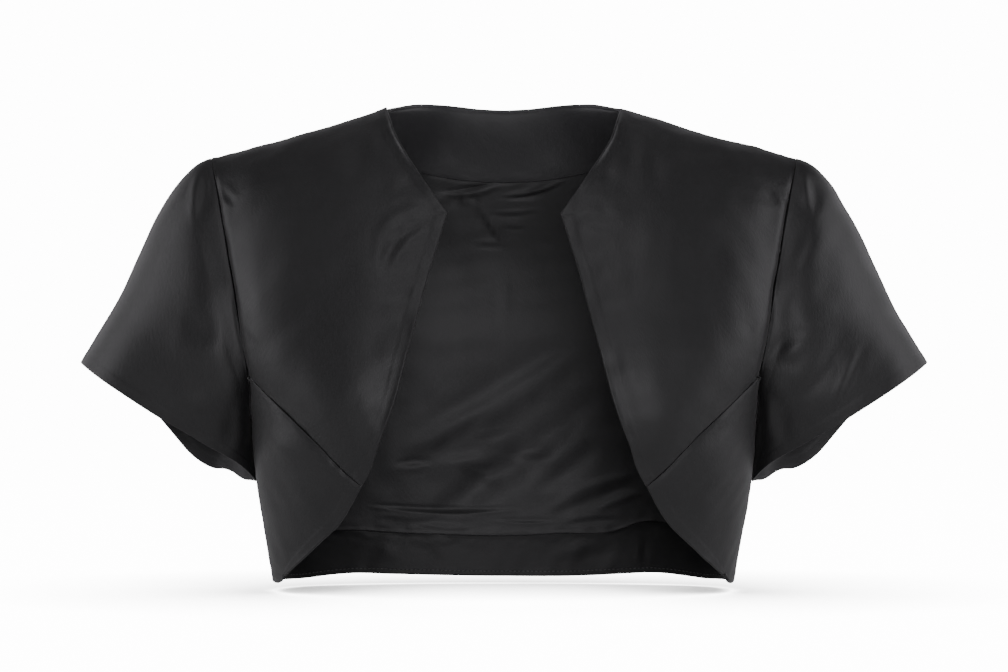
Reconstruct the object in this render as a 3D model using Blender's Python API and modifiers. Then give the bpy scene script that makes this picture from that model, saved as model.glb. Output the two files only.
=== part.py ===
"""A cropped satin bolero jacket with short set-in sleeves, filled out as when worn.

The origin is midway between the two high points of the shoulders, beside the neck. The front
faces -Y, and +X is on the right of someone who looks at the front. Sizes are in millimetres up
to the place where the meshes are made, which is in metres.
"""

import math

import bpy
import numpy as np

MM = 0.001
GARMENT = "bolero_jacket"

# Cloth. The back's gap is wider, because walls lean together where the cloth turns over.
WALL = 1.2
INNER_WALL = 1.0
SEAM_GAP = 0.9
BACK_GAP = 1.4
LAYER_GAP = 0.5
LAYER_SLACK = 1.6

# The hollow form: how square its sections are, and how far down the shoulders round over.
BACK_SQUARENESS = 2.4
ROUND_OVER = 110.0
RIDGE_STEP = 0.03
RIDGE_START = 1.4
SIDE_FALL = 2.0
FINE = 300

# Where stretches end along the edges and columns, as shares, and how many steps each has.
NECKLINE_END, UNDERARM_END, ARMHOLE_END = 0.36, 0.3, 0.58
NECK_START, NECK_END = 0.27, 0.73
UPPER_COLUMNS, UPPER_ROWS = ((1, 14),), ((NECKLINE_END, 6), (1, 10))
LOWER_COLUMNS, LOWER_ROWS = ((1, 13),), ((UNDERARM_END, 4), (1, 8))
BACK_COLUMNS, BACK_ROWS = ((NECK_START, 8), (NECK_END, 14), (1, 8)), ((ARMHOLE_END, 11), (1, 8))
SLEEVE_COLUMNS, SLEEVE_ROWS = 32, ((1, 10),)
NECK_FACING_STEPS, LINING_STEPS, HEM_FACING_STEPS = 4, 15, 3


def table(columns, *rows):
    """A short table as one array for each named column."""
    return dict(zip(columns.split(), np.array(rows, float).T))


# A row for each level of the torso. The half width is that of the section that the cloth would
# have without armholes, and the depths are those at the centre front and the centre back.
TORSO = table(
    "drop half_width front back squareness",
    (-20, 232, 72, 64, 3.6),
    (0, 230, 75, 67, 3.6),
    (34, 223, 80, 77, 3.8),
    (60, 212, 84, 84, 4.0),
    (100, 204, 94, 92, 4.0),
    (140, 195, 107, 96, 3.6),
    (178, 183, 116, 95, 3.05),
    (195, 175, 119, 93, 2.85),
    (212, 170.2, 120, 91, 2.7),
    (234, 169, 117, 88, 2.6),
    (253, 167.4, 113, 84, 2.5),
    (271, 165, 109, 81, 2.4),
    (293, 161.4, 103, 77, 2.4),
    (307, 158.8, 100, 75, 2.4),
    (325, 155, 96, 72, 2.4),
)

# The height of the shoulder ridge, which inside the neck opening runs on upwards.
RIDGE_IN_FRONT = table(
    "out height",
    (0, 28), (79.6, 0), (98, -5.4), (133, -17), (172, -26.8), (198.5, -33.7), (215, -39),
)
RIDGE_BEHIND = table(
    "out height",
    (0, 116), (30, 97), (52, 63), (66, 35), (74, 14), (78, 3.4), (79.6, 0),
    (98, -5.4), (133, -17), (172, -26.8), (198.5, -33.7), (215, -39),
)

# The edges of the pieces as seen from the front, on the +X side.
SHOULDER = table("out height", (79.6, 0), (98, -5.4), (133, -17), (172, -26.8), (198.5, -33.7))
BACK_NECK = table("out height", (79.6, 0), (78, 0.9), (74, 2.4), (66, 4.4), (52, 5.2), (25, 3.4), (0, 2.4))
NECKLINE = table(
    "out height",
    (79.6, 0), (77.7, -7.3), (74.2, -18.5), (68.5, -30.1), (59.5, -42.7), (49, -57.3), (37.4, -73.3),
)
FRONT_EDGE = table(
    "out height",
    (37.4, -73.3), (45.2, -99.7), (54.2, -130.8), (63.6, -166), (72.5, -198.1), (81.7, -223.9),
    (89, -245.8), (94, -254.2),
)
TIP_EDGE = table(
    "out height",
    (94, -254.2), (99.3, -264.2), (110.4, -280.5), (123.8, -292.7), (134.8, -302.5), (147.5, -316),
)
TIP = table("out height", (147.5, -316), (150, -319.5), (153, -321.4), (155.8, -321.2))
PANEL_SEAM = table(
    "out height",
    (94, -254.2), (102.2, -247.2), (127.4, -221.2), (147.3, -202.8), (169.6, -182.3),
)
HEM_AT_SIDE = 321.2
HEM_AT_CENTRE = 323.6
HEM_WAVE = table(
    "out up", (-140, 0), (-105, 3.2), (-78, 2.4), (-4, 0.9), (60, 1.4), (82, 2.6), (103, 3.6), (140, 0)
)

# The armhole, as a ring from the shoulder down to the underarm.
ARMHOLE = table(
    "drop out",
    (33.7, 198.5), (54.5, 193.3), (85.9, 186.6), (101.5, 183.7), (121.9, 179.8), (138.4, 177.7),
    (161.4, 174), (177.9, 170.8), (194.7, 169.3), (212, 170.2),
)
ARMHOLE_TOP, UNDERARM = 33.7, 212.0
ARMHOLE_FRONT, ARMHOLE_BACK = 57.0, 52.0
ARMHOLE_EGG = 0.3
PANEL_SEAM_TURN = math.radians(131.8)

# The sleeve, by its outer line from the shoulder and its inner line from the underarm.
SLEEVE_SHIFT = 0.8
SLEEVE_TOP = table(
    "out height",
    (198.5, -33.7), (208, -38), (218.5, -48), (226, -58), (235, -73), (243, -89), (250, -104),
    (262, -130), (275, -152), (287.4, -173),
)
SLEEVE_UNDER = table("out height", (170.2, -212), (169.8, -222), (169, -236), (168, -253.6))
SLEEVE_DEPTH = table(
    "share front back egg",
    (0, 57, 52, 0.3), (0.3, 59, 54, 0.22), (0.7, 52, 50, 0.1), (1, 45, 45, 0),
)

# How far the sleeve's hem hangs below the straight line from its outer to its inner corner, by
# degrees round it: it is cut up a little in front, and behind it hangs down.
SLEEVE_HEM = table(
    "turn drop",
    (0, 0), (60, -0.5), (90, -1.8), (115, -4), (143, -5.5), (165, -2.5), (180, 0), (195, 1.6),
    (203, 3.4), (212, 6.2), (219, 7.4), (225, 7.4), (231, 8.6), (243, 14.8), (252, 16.4),
    (260, 15.4), (270, 10.5), (280, 5.2), (290, 2.2), (300, 1), (360, 0),
)
SLEEVE_FOLDS_START = 0.15

# The inner pieces that show behind the open front, as shares of the back piece.
FACING_EDGE = table(
    "across down",
    (0.15, 0.07), (0.25, 0.115), (0.33, 0.155), (0.37, 0.179), (0.42, 0.195), (0.5, 0.201),
)
FACING_ENDS = 0.16
HEM_FACING_TOP = 0.935
INNER_MARGIN = 0.02
HEM_MARGIN = 0.002
SIDE_MARGIN = 0.01
INNER_SEAM = 0.0016

# Fullness and the largest folds, a row each, by the place of the middle as seen from the front
# or the back. The angle is in degrees from +X, side -1 is the front, and a hollow has a minus
# depth. All of them fade out towards the edges of a piece.
CALM_EDGES = 6
FOLDS = table(
    "side out height angle length width depth",
    (-1, 104, -203, 90, 150, 46, 7),
    (-1, 150, -95, 60, 130, 26, -2.2),
    (-1, 118, -150, 50, 120, 24, -1.6),
    (-1, 60, -62, 125, 70, 11, 1.3),
    (1, 60, -180, 62, 230, 20, 2.2),
    (1, -52, -205, 58, 210, 18, 2.0),
    (1, 5, -225, 50, 260, 22, -1.6),
    (1, 110, -120, 70, 150, 24, -2.0),
    (1, -115, -125, 112, 150, 24, -1.8),
)
SLEEVE_FOLDS = table(
    "turn share turn_size share_size depth",
    (62, 0.16, 26, 0.16, 2.2),
    (118, 0.42, 18, 0.5, -2.0),
    (48, 0.7, 20, 0.5, 1.6),
    (250, 0.45, 22, 0.5, -2.2),
    (300, 0.65, 20, 0.45, 1.8),
)

# The satin: near black, and a touch lighter inside
OUTER_TONE, INNER_TONE, COOL, ROUGHNESS = 0.012, 0.014, 1.06, 0.45

IN_FRONT, BEHIND = (0, -1, 0), (0, 1, 0)


def smooth(at, knots, values):
    """A smooth curve through a table's values."""
    gap = np.diff(knots)
    slope = np.diff(values) / gap
    middle = (slope[:-1] * gap[1:] + slope[1:] * gap[:-1]) / (gap[:-1] + gap[1:])
    tangent = np.concatenate([slope[:1], middle, slope[-1:]])
    at = np.clip(at, knots[0], knots[-1])
    i = np.clip(np.searchsorted(knots, at, side="right") - 1, 0, len(gap) - 1)
    t = (at - knots[i]) / gap[i]
    start = (2 * t**3 - 3 * t**2 + 1) * values[i] + (t**3 - 2 * t**2 + t) * gap[i] * tangent[i]
    end = (3 * t**2 - 2 * t**3) * values[i + 1] + (t**3 - t**2) * gap[i] * tangent[i + 1]
    return start + end


def squareness(z, side):
    """How square the section at that height is, in front or behind."""
    return smooth(-z, TORSO["drop"], TORSO["squareness"]) if side < 0 else BACK_SQUARENESS


def torso_turn(x, z, side):
    """How far round the torso a point is: none at the centre, a quarter turn at the side."""
    share = np.clip(np.abs(x) / smooth(-z, TORSO["drop"], TORSO["half_width"]), 0, 1)
    return np.arcsin(share ** (squareness(z, side) / 2)) * np.sign(x)


def torso(turn, z, side):
    """Points of the filled-out torso; side is -1 in front and 1 behind."""
    power = 2 / squareness(z, side)
    x = smooth(-z, TORSO["drop"], TORSO["half_width"]) * np.abs(np.sin(turn)) ** power
    ridge = RIDGE_IN_FRONT if side < 0 else RIDGE_BEHIND
    below = np.clip((smooth(x, ridge["out"], ridge["height"]) - z) / ROUND_OVER, 0, 1)
    depth = smooth(-z, TORSO["drop"], TORSO["front" if side < 0 else "back"])
    y = side * depth * np.abs(np.cos(turn)) ** power * np.sqrt(1 - (1 - below) ** 2)
    return np.stack([x * np.sign(turn), y, z + 0 * turn], axis=-1)


def armhole(turn):
    """Points of the +X armhole, from the shoulder at 0 by the front to the underarm at half a turn."""
    drop = ARMHOLE_TOP + (UNDERARM - ARMHOLE_TOP) * (1 - np.cos(turn)) / 2
    out = smooth(drop, ARMHOLE["drop"], ARMHOLE["out"])
    depth = np.where(np.sin(turn) > 0, ARMHOLE_FRONT, ARMHOLE_BACK)
    y = -depth * np.sin(turn) * (1 - ARMHOLE_EGG * np.cos(turn))
    return np.stack([out, y, -drop], axis=-1)


def line(edge, side=0):
    """A smooth line through an edge's table, laid on the torso in front or behind."""
    corner = np.concatenate([[0], np.cumsum(np.hypot(np.diff(edge["out"]), np.diff(edge["height"])))])
    at = np.linspace(0, corner[-1], FINE)
    x, z = (smooth(at, corner, edge[k]) for k in ("out", "height"))
    return torso(torso_turn(x, z, side), z, side) if side else np.stack([x, 0 * x, z], axis=-1)


def along(points, share):
    """The points at these shares of a line's length."""
    length = np.concatenate([[0], np.cumsum(np.linalg.norm(np.diff(points, axis=0), axis=1))])
    return np.stack([np.interp(share * length[-1], length, points[:, k]) for k in range(3)], axis=-1)


def edge(share, *stretches):
    """Points along an edge of several stretches, each given as the share where it ends and its line."""
    points, start = np.empty((len(share), 3)), 0.0
    for end, stretch in stretches:
        inside = (share >= start) & (share <= end)
        points[inside] = along(stretch, (share[inside] - start) / (end - start))
        start = end
    return points


def shares(*stretches, narrow=False):
    """Shares from 0 to 1, given as (end, steps), with a narrow first step at a seam that turns over."""
    made, start = [0.0], 0.0
    for end, steps in stretches:
        made += list(np.linspace(start, end, steps + 1)[1:])
        start = end
    if narrow:
        made.insert(1, RIDGE_STEP)
    return np.array(made)


def filled(across, down, left, right, top, bottom, fall=SIDE_FALL, start=1.0):
    """Values inside a four-sided piece, from those along its sides.

    They run from the top to the bottom edge, and the side edges pull them over by less and less
    with the distance. A start over 1 brings the rows closer together at the top.
    """
    u, v = across[None, :, None], down[:, None, None] ** start
    made = (1 - v) * top[None] + v * bottom[None]
    off_left, off_right = left[:, None] - made[:, :1], right[:, None] - made[:, -1:]
    return made + (1 - u) ** fall * off_left + u**fall * off_right


def normals(grid, outward):
    """The outward direction at each point of a grid."""
    n = np.cross(np.gradient(grid, axis=1), np.gradient(grid, axis=0))
    n /= np.maximum(np.linalg.norm(n, axis=-1, keepdims=True), 1e-9)
    return n if (n * outward).sum() > 0 else -n


def folded(grid, side, across, down):
    """The grid with the fullness and folds of that side, moved out along its normals."""
    height = np.zeros(grid.shape[:2])
    for k in range(len(FOLDS["side"])):
        f = {name: column[k] for name, column in FOLDS.items()}
        if f["side"] != side:
            continue
        for mirror in ((1, -1) if side < 0 else (1,)):
            x, z = grid[..., 0] * mirror - f["out"], grid[..., 2] - f["height"]
            a = math.radians(f["angle"])
            forward, off = x * math.cos(a) + z * math.sin(a), z * math.cos(a) - x * math.sin(a)
            end = np.clip(np.abs(forward) / (f["length"] / 2), 0, 1)
            height += f["depth"] * np.exp(-((off / f["width"]) ** 2)) * np.cos(end * math.pi / 2) ** 2
    calm = np.outer(1 - np.abs(2 * down - 1) ** CALM_EDGES, 1 - np.abs(2 * across - 1) ** CALM_EDGES)
    return grid + normals(grid, np.array([0, side, 0.0])) * (height * calm)[..., None]


def panel(across, down, side, left, right, top, bottom, start=1.0):
    """A piece of the torso between four edges, as a grid of points with a row for each share down."""
    edges = (left, right, top, bottom)
    flat = [np.stack([torso_turn(e[:, 0], e[:, 2], side), e[:, 2]], axis=-1) for e in edges]
    inside = filled(across, down, *flat, start=start)
    grid = torso(inside[..., 0], inside[..., 1], side)
    missed = [e - torso(f[:, 0], f[:, 1], side) for e, f in zip(edges, flat)]
    grid += filled(across, down, *missed)
    return folded(grid, side, across, down)


def drawn_in(grid, top=0.0, bottom=0.0, left=0.0, right=0.0):
    """The grid with its seam edges moved back, so that pieces are a seam's gap apart."""
    grid = grid.copy()
    for amount, border, inner in (
        (top, np.s_[0], np.s_[1]),
        (bottom, np.s_[-1], np.s_[-2]),
        (left, np.s_[:, 0], np.s_[:, 1]),
        (right, np.s_[:, -1], np.s_[:, -2]),
    ):
        inward = grid[inner] - grid[border]
        grid[border] += amount * inward / np.linalg.norm(inward, axis=-1, keepdims=True)
    return grid


def front_upper():
    """The +X front from the shoulder to the slanting panel seam."""
    across = shares(*UPPER_COLUMNS)
    down = shares(*UPPER_ROWS, narrow=True)
    shoulder = along(line(SHOULDER), across)
    seam = along(line(PANEL_SEAM, -1), across)
    inner = edge(down, (NECKLINE_END, line(NECKLINE, -1)), (1, line(FRONT_EDGE, -1)))
    outer = along(armhole(np.linspace(0, PANEL_SEAM_TURN, FINE)), down)
    inner[0], outer[0], inner[-1], seam[-1] = shoulder[0], shoulder[-1], seam[0], outer[-1]
    grid = panel(across, down, -1, inner, outer, shoulder, seam, start=RIDGE_START)
    return drawn_in(grid, top=SEAM_GAP / 2, bottom=SEAM_GAP / 2)


def side_seam():
    """The line down the +X side from the underarm to the hem."""
    z = -np.linspace(UNDERARM, HEM_AT_SIDE, FINE)
    return torso(np.full(FINE, math.pi / 2), z, -1)


def front_lower():
    """The +X front below the slanting seam, which runs out in a point at the side seam."""
    across = shares(*LOWER_COLUMNS)
    down = shares(*LOWER_ROWS)
    underarm = armhole(np.linspace(PANEL_SEAM_TURN, math.pi, FINE))
    seam = along(line(PANEL_SEAM, -1), across)
    inner = along(line(TIP_EDGE, -1), down)
    outer = edge(down, (UNDERARM_END, underarm), (1, side_seam()))
    tip = along(line(TIP, -1), across)
    seam[0], seam[-1], tip[0], tip[-1] = inner[0], outer[0], inner[-1], outer[-1]
    grid = panel(across, down, -1, inner, outer, seam, tip)
    return drawn_in(grid, top=SEAM_GAP / 2, right=SEAM_GAP / 2)


def back_panel(across, down):
    """The whole back, from -X to +X, between the shoulders, the neck, the armholes and the hem."""
    flip = np.array([-1, 1, 1])
    shoulder, neck = line(SHOULDER), line(BACK_NECK, 1)
    turn = np.linspace(-math.pi / 2, math.pi / 2, FINE)
    hem = torso(turn, -(HEM_AT_SIDE + (HEM_AT_CENTRE - HEM_AT_SIDE) * np.cos(turn)), 1)
    hem[:, 2] += smooth(hem[:, 0], HEM_WAVE["out"], HEM_WAVE["up"])
    top = edge(
        across,
        (NECK_START, shoulder[::-1] * flip),
        (0.5, neck * flip),
        (NECK_END, neck[::-1]),
        (1, shoulder),
    )
    bottom = along(hem, across)
    right = edge(down, (ARMHOLE_END, armhole(-np.linspace(0, math.pi, FINE))), (1, side_seam()))
    bottom[0], bottom[-1], top[0], top[-1] = right[-1] * flip, right[-1], right[0] * flip, right[0]
    return panel(across, down, 1, right * flip, right, top, bottom, start=RIDGE_START)


def back():
    grid = back_panel(shares(*BACK_COLUMNS), shares(*BACK_ROWS, narrow=True))
    return drawn_in(grid, top=BACK_GAP / 2, left=BACK_GAP / 2, right=BACK_GAP / 2)


def inner_piece(whole, down, used, start, end, steps):
    """A piece inside the back, between two shares down the used columns of the whole inner surface."""
    columns = []
    for k in np.flatnonzero(used):
        at = np.linspace(start[k], end[k], steps + 1)
        columns.append(np.stack([np.interp(at, down, whole[:, k, i]) for i in range(3)], axis=-1))
    return np.stack(columns, axis=1)


def facing_edge(across):
    """How far down the back the neck facing reaches, and no distance past its ends."""
    reach = smooth(0.5 - np.abs(across - 0.5), FACING_EDGE["across"], FACING_EDGE["down"])
    return np.where(np.abs(across - 0.5) > 0.5 - FACING_ENDS, INNER_MARGIN, reach)


def inner_pieces():
    """The neck facing, the lining and the hem facing behind the open front."""
    across, down = shares(*BACK_COLUMNS), shares(*BACK_ROWS, narrow=True)
    whole = back_panel(across, down)
    inside = WALL + LAYER_GAP + LAYER_SLACK * (1 - np.abs(2 * down - 1) ** 4)
    whole = whole - normals(whole, np.array([0, 1.0, 0])) * inside[:, None, None]
    lined = np.abs(across - 0.5) < 0.5 - SIDE_MARGIN
    by_neck = np.abs(across - 0.5) < 0.5 - FACING_ENDS
    neck_top, facing = np.full(len(across), INNER_MARGIN), facing_edge(across)
    hem_top, hem = np.full(len(across), HEM_FACING_TOP), np.full(len(across), 1 - HEM_MARGIN)
    lining_top, lining_end = facing + INNER_SEAM, hem_top - INNER_SEAM
    return {
        "back_neck_facing": inner_piece(whole, down, by_neck, neck_top, facing, NECK_FACING_STEPS),
        "back_lining": inner_piece(whole, down, lined, lining_top, lining_end, LINING_STEPS),
        "back_hem_facing": inner_piece(whole, down, lined, hem_top + INNER_SEAM, hem, HEM_FACING_STEPS),
    }


def sleeve():
    """The +X sleeve as rings from the armhole to the hem."""
    share = shares(*SLEEVE_ROWS, narrow=True)
    turn = np.linspace(0, 2 * math.pi, SLEEVE_COLUMNS + 1)[:-1]
    top, under = along(line(SLEEVE_TOP), share)[:, None], along(line(SLEEVE_UNDER), share)[:, None]
    s = share[:, None]
    down = (1 - np.cos(turn)) / 2
    grid = top + (under - top) * down[:, None]
    on_line = ARMHOLE["out"][0] + (ARMHOLE["out"][-1] - ARMHOLE["out"][0]) * down
    bow = armhole(turn)[:, 0] - on_line
    grid[..., 0] += bow * (1 - s) ** 2 + SLEEVE_SHIFT
    depth = {k: smooth(s, SLEEVE_DEPTH["share"], SLEEVE_DEPTH[k]) for k in ("front", "back", "egg")}
    reach = np.where(np.sin(turn) > 0, depth["front"], depth["back"])
    grid[..., 1] -= reach * np.sin(turn) * (1 - depth["egg"] * np.cos(turn))
    grid[..., 2] -= s**2 * smooth(np.degrees(turn), SLEEVE_HEM["turn"], SLEEVE_HEM["drop"])
    outward = grid - grid.mean(axis=1, keepdims=True)
    outward /= np.linalg.norm(outward, axis=-1, keepdims=True)
    height = np.zeros(grid.shape[:2])
    for k in range(len(SLEEVE_FOLDS["turn"])):
        f = {name: column[k] for name, column in SLEEVE_FOLDS.items()}
        round_it = (np.degrees(turn) - f["turn"] + 180) % 360 - 180
        far = (round_it / f["turn_size"]) ** 2 + ((s - f["share"]) / f["share_size"]) ** 2
        height += f["depth"] * np.exp(-far) * np.clip(s / SLEEVE_FOLDS_START, 0, 1)
    return grid + outward * height[..., None]


def satin(name, tone):
    """A near-black satin of one piece."""
    material = bpy.data.materials.new(name)
    material.use_nodes = True
    shader = material.node_tree.nodes["Principled BSDF"]
    shader.inputs["Base Color"].default_value = (tone, tone, tone * COOL, 1)
    shader.inputs["Roughness"].default_value = ROUGHNESS
    shader.inputs["Metallic"].default_value = 0.0
    return material


def cloth(name, grid, collection, thickness, tone, outward, round_it=False):
    """A wall of cloth from a grid of its outer points, with its thickness on the inside.

    A piece that runs round an arm faces away from its own middle, and the others face outward.
    """
    rows, columns = grid.shape[:2]
    faces = []
    for r in range(rows - 1):
        for c in range(columns if round_it else columns - 1):
            here, beside = r * columns + c, r * columns + (c + 1) % columns
            faces.append((here, beside, beside + columns, here + columns))
    mesh = bpy.data.meshes.new(name)
    mesh.from_pydata((grid.reshape(-1, 3) * MM).tolist(), [], faces)
    middle = grid.reshape(-1, 3).mean(axis=0) * MM
    facing = 0.0
    for p in mesh.polygons:
        way = [a - b for a, b in zip(p.center, middle)] if round_it else outward
        facing += p.normal.dot(way) * p.area
    if facing < 0:
        mesh.flip_normals()
    mesh.shade_smooth()
    piece = bpy.data.objects.new(name, mesh)
    piece.data.materials.append(satin(name + "_satin", tone))
    wall = piece.modifiers.new("wall", "SOLIDIFY")
    wall.thickness = thickness * MM
    wall.offset = -1
    wall.use_even_offset = True
    wall.use_quality_normals = True
    collection.objects.link(piece)


def build():
    for old in list(bpy.data.objects):
        bpy.data.objects.remove(old)
    garment = bpy.data.collections.new(GARMENT)
    bpy.context.scene.collection.children.link(garment)
    cloth("back", back(), garment, WALL, OUTER_TONE, BEHIND)
    for name, grid in inner_pieces().items():
        cloth(name, grid, garment, INNER_WALL, INNER_TONE, BEHIND)
    made = {"front_upper": front_upper(), "front_lower": front_lower(), "sleeve": sleeve()}
    for hand, sign in (("left", -1), ("right", 1)):
        for name, grid in made.items():
            turned = grid * np.array([sign, 1, 1])
            cloth(f"{name}_{hand}", turned, garment, WALL, OUTER_TONE, IN_FRONT, round_it=name == "sleeve")


build()
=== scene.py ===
"""The looks of a cropped black satin bolero jacket, filled out as when worn.

The front faces -Y, and the origin is midway between the high points of the shoulders. Cloth is
worked out in millimetres and made in metres. Every piece is a thin wall with a rounded edge on
its CAD solid's own form, with the soft folds, seam puckers and pressed edges of sewn satin.
"""

import math

import bpy
import numpy as np
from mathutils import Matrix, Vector


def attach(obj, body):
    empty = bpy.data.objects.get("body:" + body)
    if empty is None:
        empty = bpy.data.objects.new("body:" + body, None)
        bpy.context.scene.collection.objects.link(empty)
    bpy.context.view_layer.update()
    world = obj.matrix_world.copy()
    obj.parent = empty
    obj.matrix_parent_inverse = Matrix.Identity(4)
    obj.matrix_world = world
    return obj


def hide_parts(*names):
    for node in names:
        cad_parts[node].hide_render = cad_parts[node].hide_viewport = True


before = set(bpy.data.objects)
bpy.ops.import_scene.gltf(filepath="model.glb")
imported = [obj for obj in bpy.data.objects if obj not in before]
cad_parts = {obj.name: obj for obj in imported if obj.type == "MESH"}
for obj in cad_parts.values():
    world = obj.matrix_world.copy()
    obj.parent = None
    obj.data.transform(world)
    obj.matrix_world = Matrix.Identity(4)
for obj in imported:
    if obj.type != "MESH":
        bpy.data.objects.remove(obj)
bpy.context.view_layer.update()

MM = 0.001
MIRROR = np.array([-1, 1, 1])


def table(columns, *rows):
    """A short table as one array for each named column."""
    return dict(zip(columns.split(), np.array(rows, float).T))


# The hollow form, as in the CAD source: a row for each level of the torso.
BACK_SQUARENESS = 2.4
ROUND_OVER = 110.0
TORSO = table(
    "drop half_width front back squareness",
    (-20, 232, 72, 64, 3.6),
    (0, 230, 75, 67, 3.6),
    (34, 223, 80, 77, 3.8),
    (60, 212, 84, 84, 4.0),
    (100, 204, 94, 92, 4.0),
    (140, 195, 107, 96, 3.6),
    (178, 183, 116, 95, 3.05),
    (195, 175, 119, 93, 2.85),
    (212, 170.2, 120, 91, 2.7),
    (234, 169, 117, 88, 2.6),
    (253, 167.4, 113, 84, 2.5),
    (271, 165, 109, 81, 2.4),
    (293, 161.4, 103, 77, 2.4),
    (307, 158.8, 100, 75, 2.4),
    (325, 155, 96, 72, 2.4),
)
RIDGE_IN_FRONT = table(
    "out height", (0, 28), (79.6, 0), (98, -5.4), (133, -17), (172, -26.8), (198.5, -33.7), (215, -39)
)
RIDGE_BEHIND = table(
    "out height",
    (0, 116), (30, 97), (52, 63), (66, 35), (74, 14), (78, 3.4), (79.6, 0),
    (98, -5.4), (133, -17), (172, -26.8), (198.5, -33.7), (215, -39),
)

# The edges of the pieces as seen from the front, on the +X side.
SHOULDER = table("out height", (79.6, 0), (98, -5.4), (133, -17), (172, -26.8), (198.5, -33.7))
BACK_NECK = table(
    "out height", (79.6, 0), (78, 0.9), (74, 2.4), (66, 4.4), (52, 5.2), (25, 3.4), (0, 2.4)
)
NECKLINE = table(
    "out height",
    (79.6, 0), (77.7, -7.3), (74.2, -18.5), (68.5, -30.1), (59.5, -42.7), (49, -57.3), (37.4, -73.3),
)
FRONT_EDGE = table(
    "out height",
    (37.4, -73.3), (45.2, -99.7), (54.2, -130.8), (63.6, -166), (72.5, -198.1), (81.7, -223.9),
    (89, -245.8), (94, -254.2),
)
TIP_EDGE = table(
    "out height",
    (94, -254.2), (99.3, -264.2), (110.4, -280.5), (123.8, -292.7), (134.8, -302.5), (147.5, -316),
)
TIP = table("out height", (147.5, -316), (150, -319.5), (153, -321.4), (155.8, -321.2))
PANEL_SEAM = table(
    "out height", (94, -254.2), (102.2, -247.2), (127.4, -221.2), (147.3, -202.8), (169.6, -182.3)
)
NECKLINE_END, UNDERARM_END = 0.36, 0.3
NECK_START, NECK_MIDDLE, BACK_UNDERARM = 0.27, 0.5, 0.58
HEM_AT_SIDE = 321.2
HEM_AT_CENTRE = 323.6
ARMHOLE = table(
    "drop out",
    (33.7, 198.5), (54.5, 193.3), (85.9, 186.6), (101.5, 183.7), (121.9, 179.8), (138.4, 177.7),
    (161.4, 174), (177.9, 170.8), (194.7, 169.3), (212, 170.2),
)
ARMHOLE_TOP, UNDERARM = 33.7, 212.0
ARMHOLE_FRONT, ARMHOLE_BACK = 57.0, 52.0
ARMHOLE_EGG = 0.3
PANEL_SEAM_TURN = math.radians(131.8)
SLEEVE_SHIFT = 0.3
SLEEVE_TOP = table(
    "out height",
    (198.5, -33.7), (208, -38), (218.5, -48), (226, -58), (235, -73), (243, -89), (250, -104),
    (262, -130), (275, -152), (287.4, -173),
)
SLEEVE_UNDER = table("out height", (170.2, -212), (169.8, -222), (169, -236), (168, -253.6))
SLEEVE_DEPTH = table(
    "share front back egg",
    (0, 57, 52, 0.3), (0.3, 59, 54, 0.22), (0.7, 52, 50, 0.1), (1, 45, 45, 0),
)
SLEEVE_HEM = table(
    "turn drop",
    (0, 0), (60, -0.5), (90, -1.8), (115, -4), (143, -5.5), (165, -2.5), (180, 0), (195, 1.6),
    (203, 3.4), (212, 6.2), (219, 7.4), (225, 7.4), (231, 8.6), (243, 14.8), (252, 16.4),
    (260, 15.4), (270, 10.5), (280, 5.2), (290, 2.2), (300, 1), (360, 0),
)
FACING_EDGE = table(
    "across down",
    (0.15, 0.07), (0.25, 0.115), (0.33, 0.155), (0.37, 0.179), (0.42, 0.195), (0.5, 0.201),
)

# The back hem's soft wave, and the seam above the band inside it, from -X to +X.
HEM_WAVE = table(
    "out up",
    (-140, 0), (-105, 3.2), (-78, 2.4), (-4, 0.9), (60, 1.4), (82, 2.6), (103, 3.6), (140, 0),
)
HEM_SEAM = table(
    "across down",
    (0, 0.9), (0.19, 0.909), (0.3, 0.921), (0.41, 0.926), (0.5, 0.927), (0.59, 0.9225),
    (0.7, 0.917), (0.745, 0.9), (0.8, 0.896), (1, 0.9),
)

# Fullness and folds of the torso, a row each, by the place of the middle as seen from the front
# or the back. The angle is in degrees from +X; hand is -1, 1 or 0 for both, mirrored.
FOLDS = table(
    "side hand out height angle length width depth",
    (-1, 0, 104, -203, 90, 150, 46, 7),
    (-1, 0, 150, -95, 60, 130, 26, -2.2),
    (-1, 0, 118, -150, 50, 120, 24, -1.6),
    (-1, 0, 60, -62, 125, 70, 11, 1.3),
    (1, 1, 60, -180, 62, 230, 20, 2.2),
    (1, 1, -52, -205, 58, 210, 18, 2.0),
    (1, 1, 5, -225, 50, 260, 22, -1.6),
    (1, 1, 110, -120, 70, 150, 24, -2.0),
    (1, 1, -115, -125, 112, 150, 24, -1.8),
)
FOLD_START, CALM_RING = 0.15, 0.02
FACE_SHARPNESS, FACE_START = 3, 0.6
SLEEVE_FOLDS = table(
    "turn share turn_size share_size depth",
    (62, 0.16, 26, 0.16, 2.2),
    (118, 0.42, 18, 0.5, -2.0),
    (48, 0.7, 20, 0.5, 1.6),
    (250, 0.45, 22, 0.5, -2.2),
    (300, 0.65, 20, 0.45, 1.8),
)

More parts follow.
